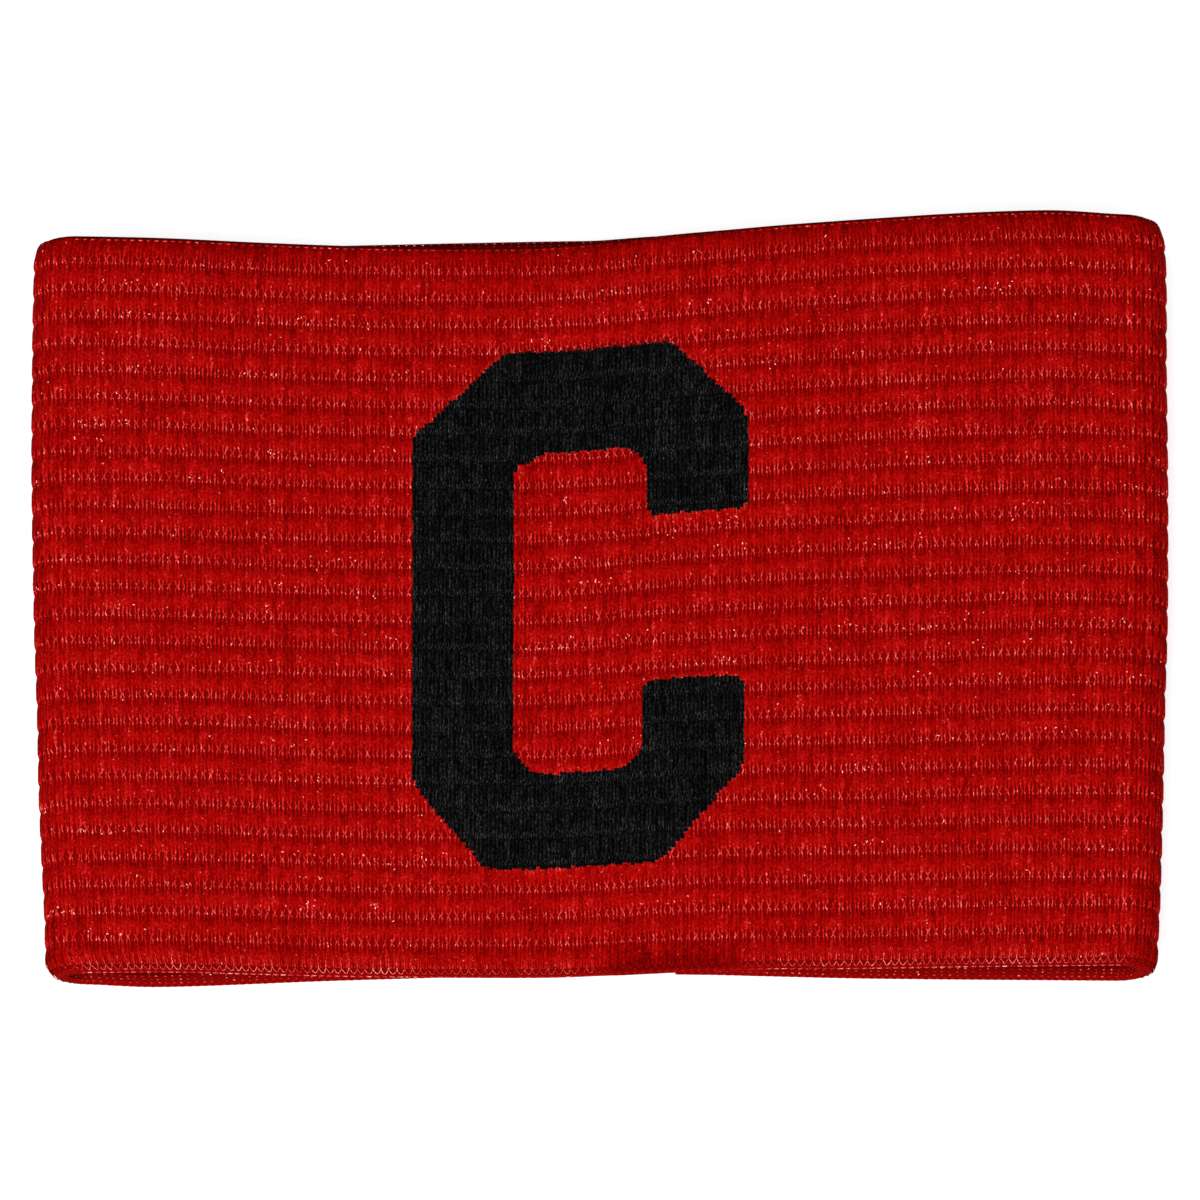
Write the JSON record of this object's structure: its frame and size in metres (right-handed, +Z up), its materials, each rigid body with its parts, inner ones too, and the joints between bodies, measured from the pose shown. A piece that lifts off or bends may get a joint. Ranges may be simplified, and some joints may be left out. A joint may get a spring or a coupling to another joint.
{
  "type": "captain armband",
  "caption": "Flattened loop of ribbed red elastic webbing with a black block letter C woven into its face and a sewn lap at the back, worn round the upper arm.",
  "frame": {"origin": "on the table, under the middle of the flattened loop's box", "axes": "+X along the flattened loop, to the reader's right; +Y across the webbing, towards the top of the letter; +Z up, out of the lettered face"},
  "size_m": [0.1212, 0.0828, 0.0086],
  "materials": {
    "red_elastic": "ribbed woven elastic in red polyester yarn, soft sheen",
    "black_yarn": "matt black woven yarn"
  },
  "bodies": {
    "root": {"band": "red_elastic", "letter": "black_yarn"}
  },
  "joints": []
}
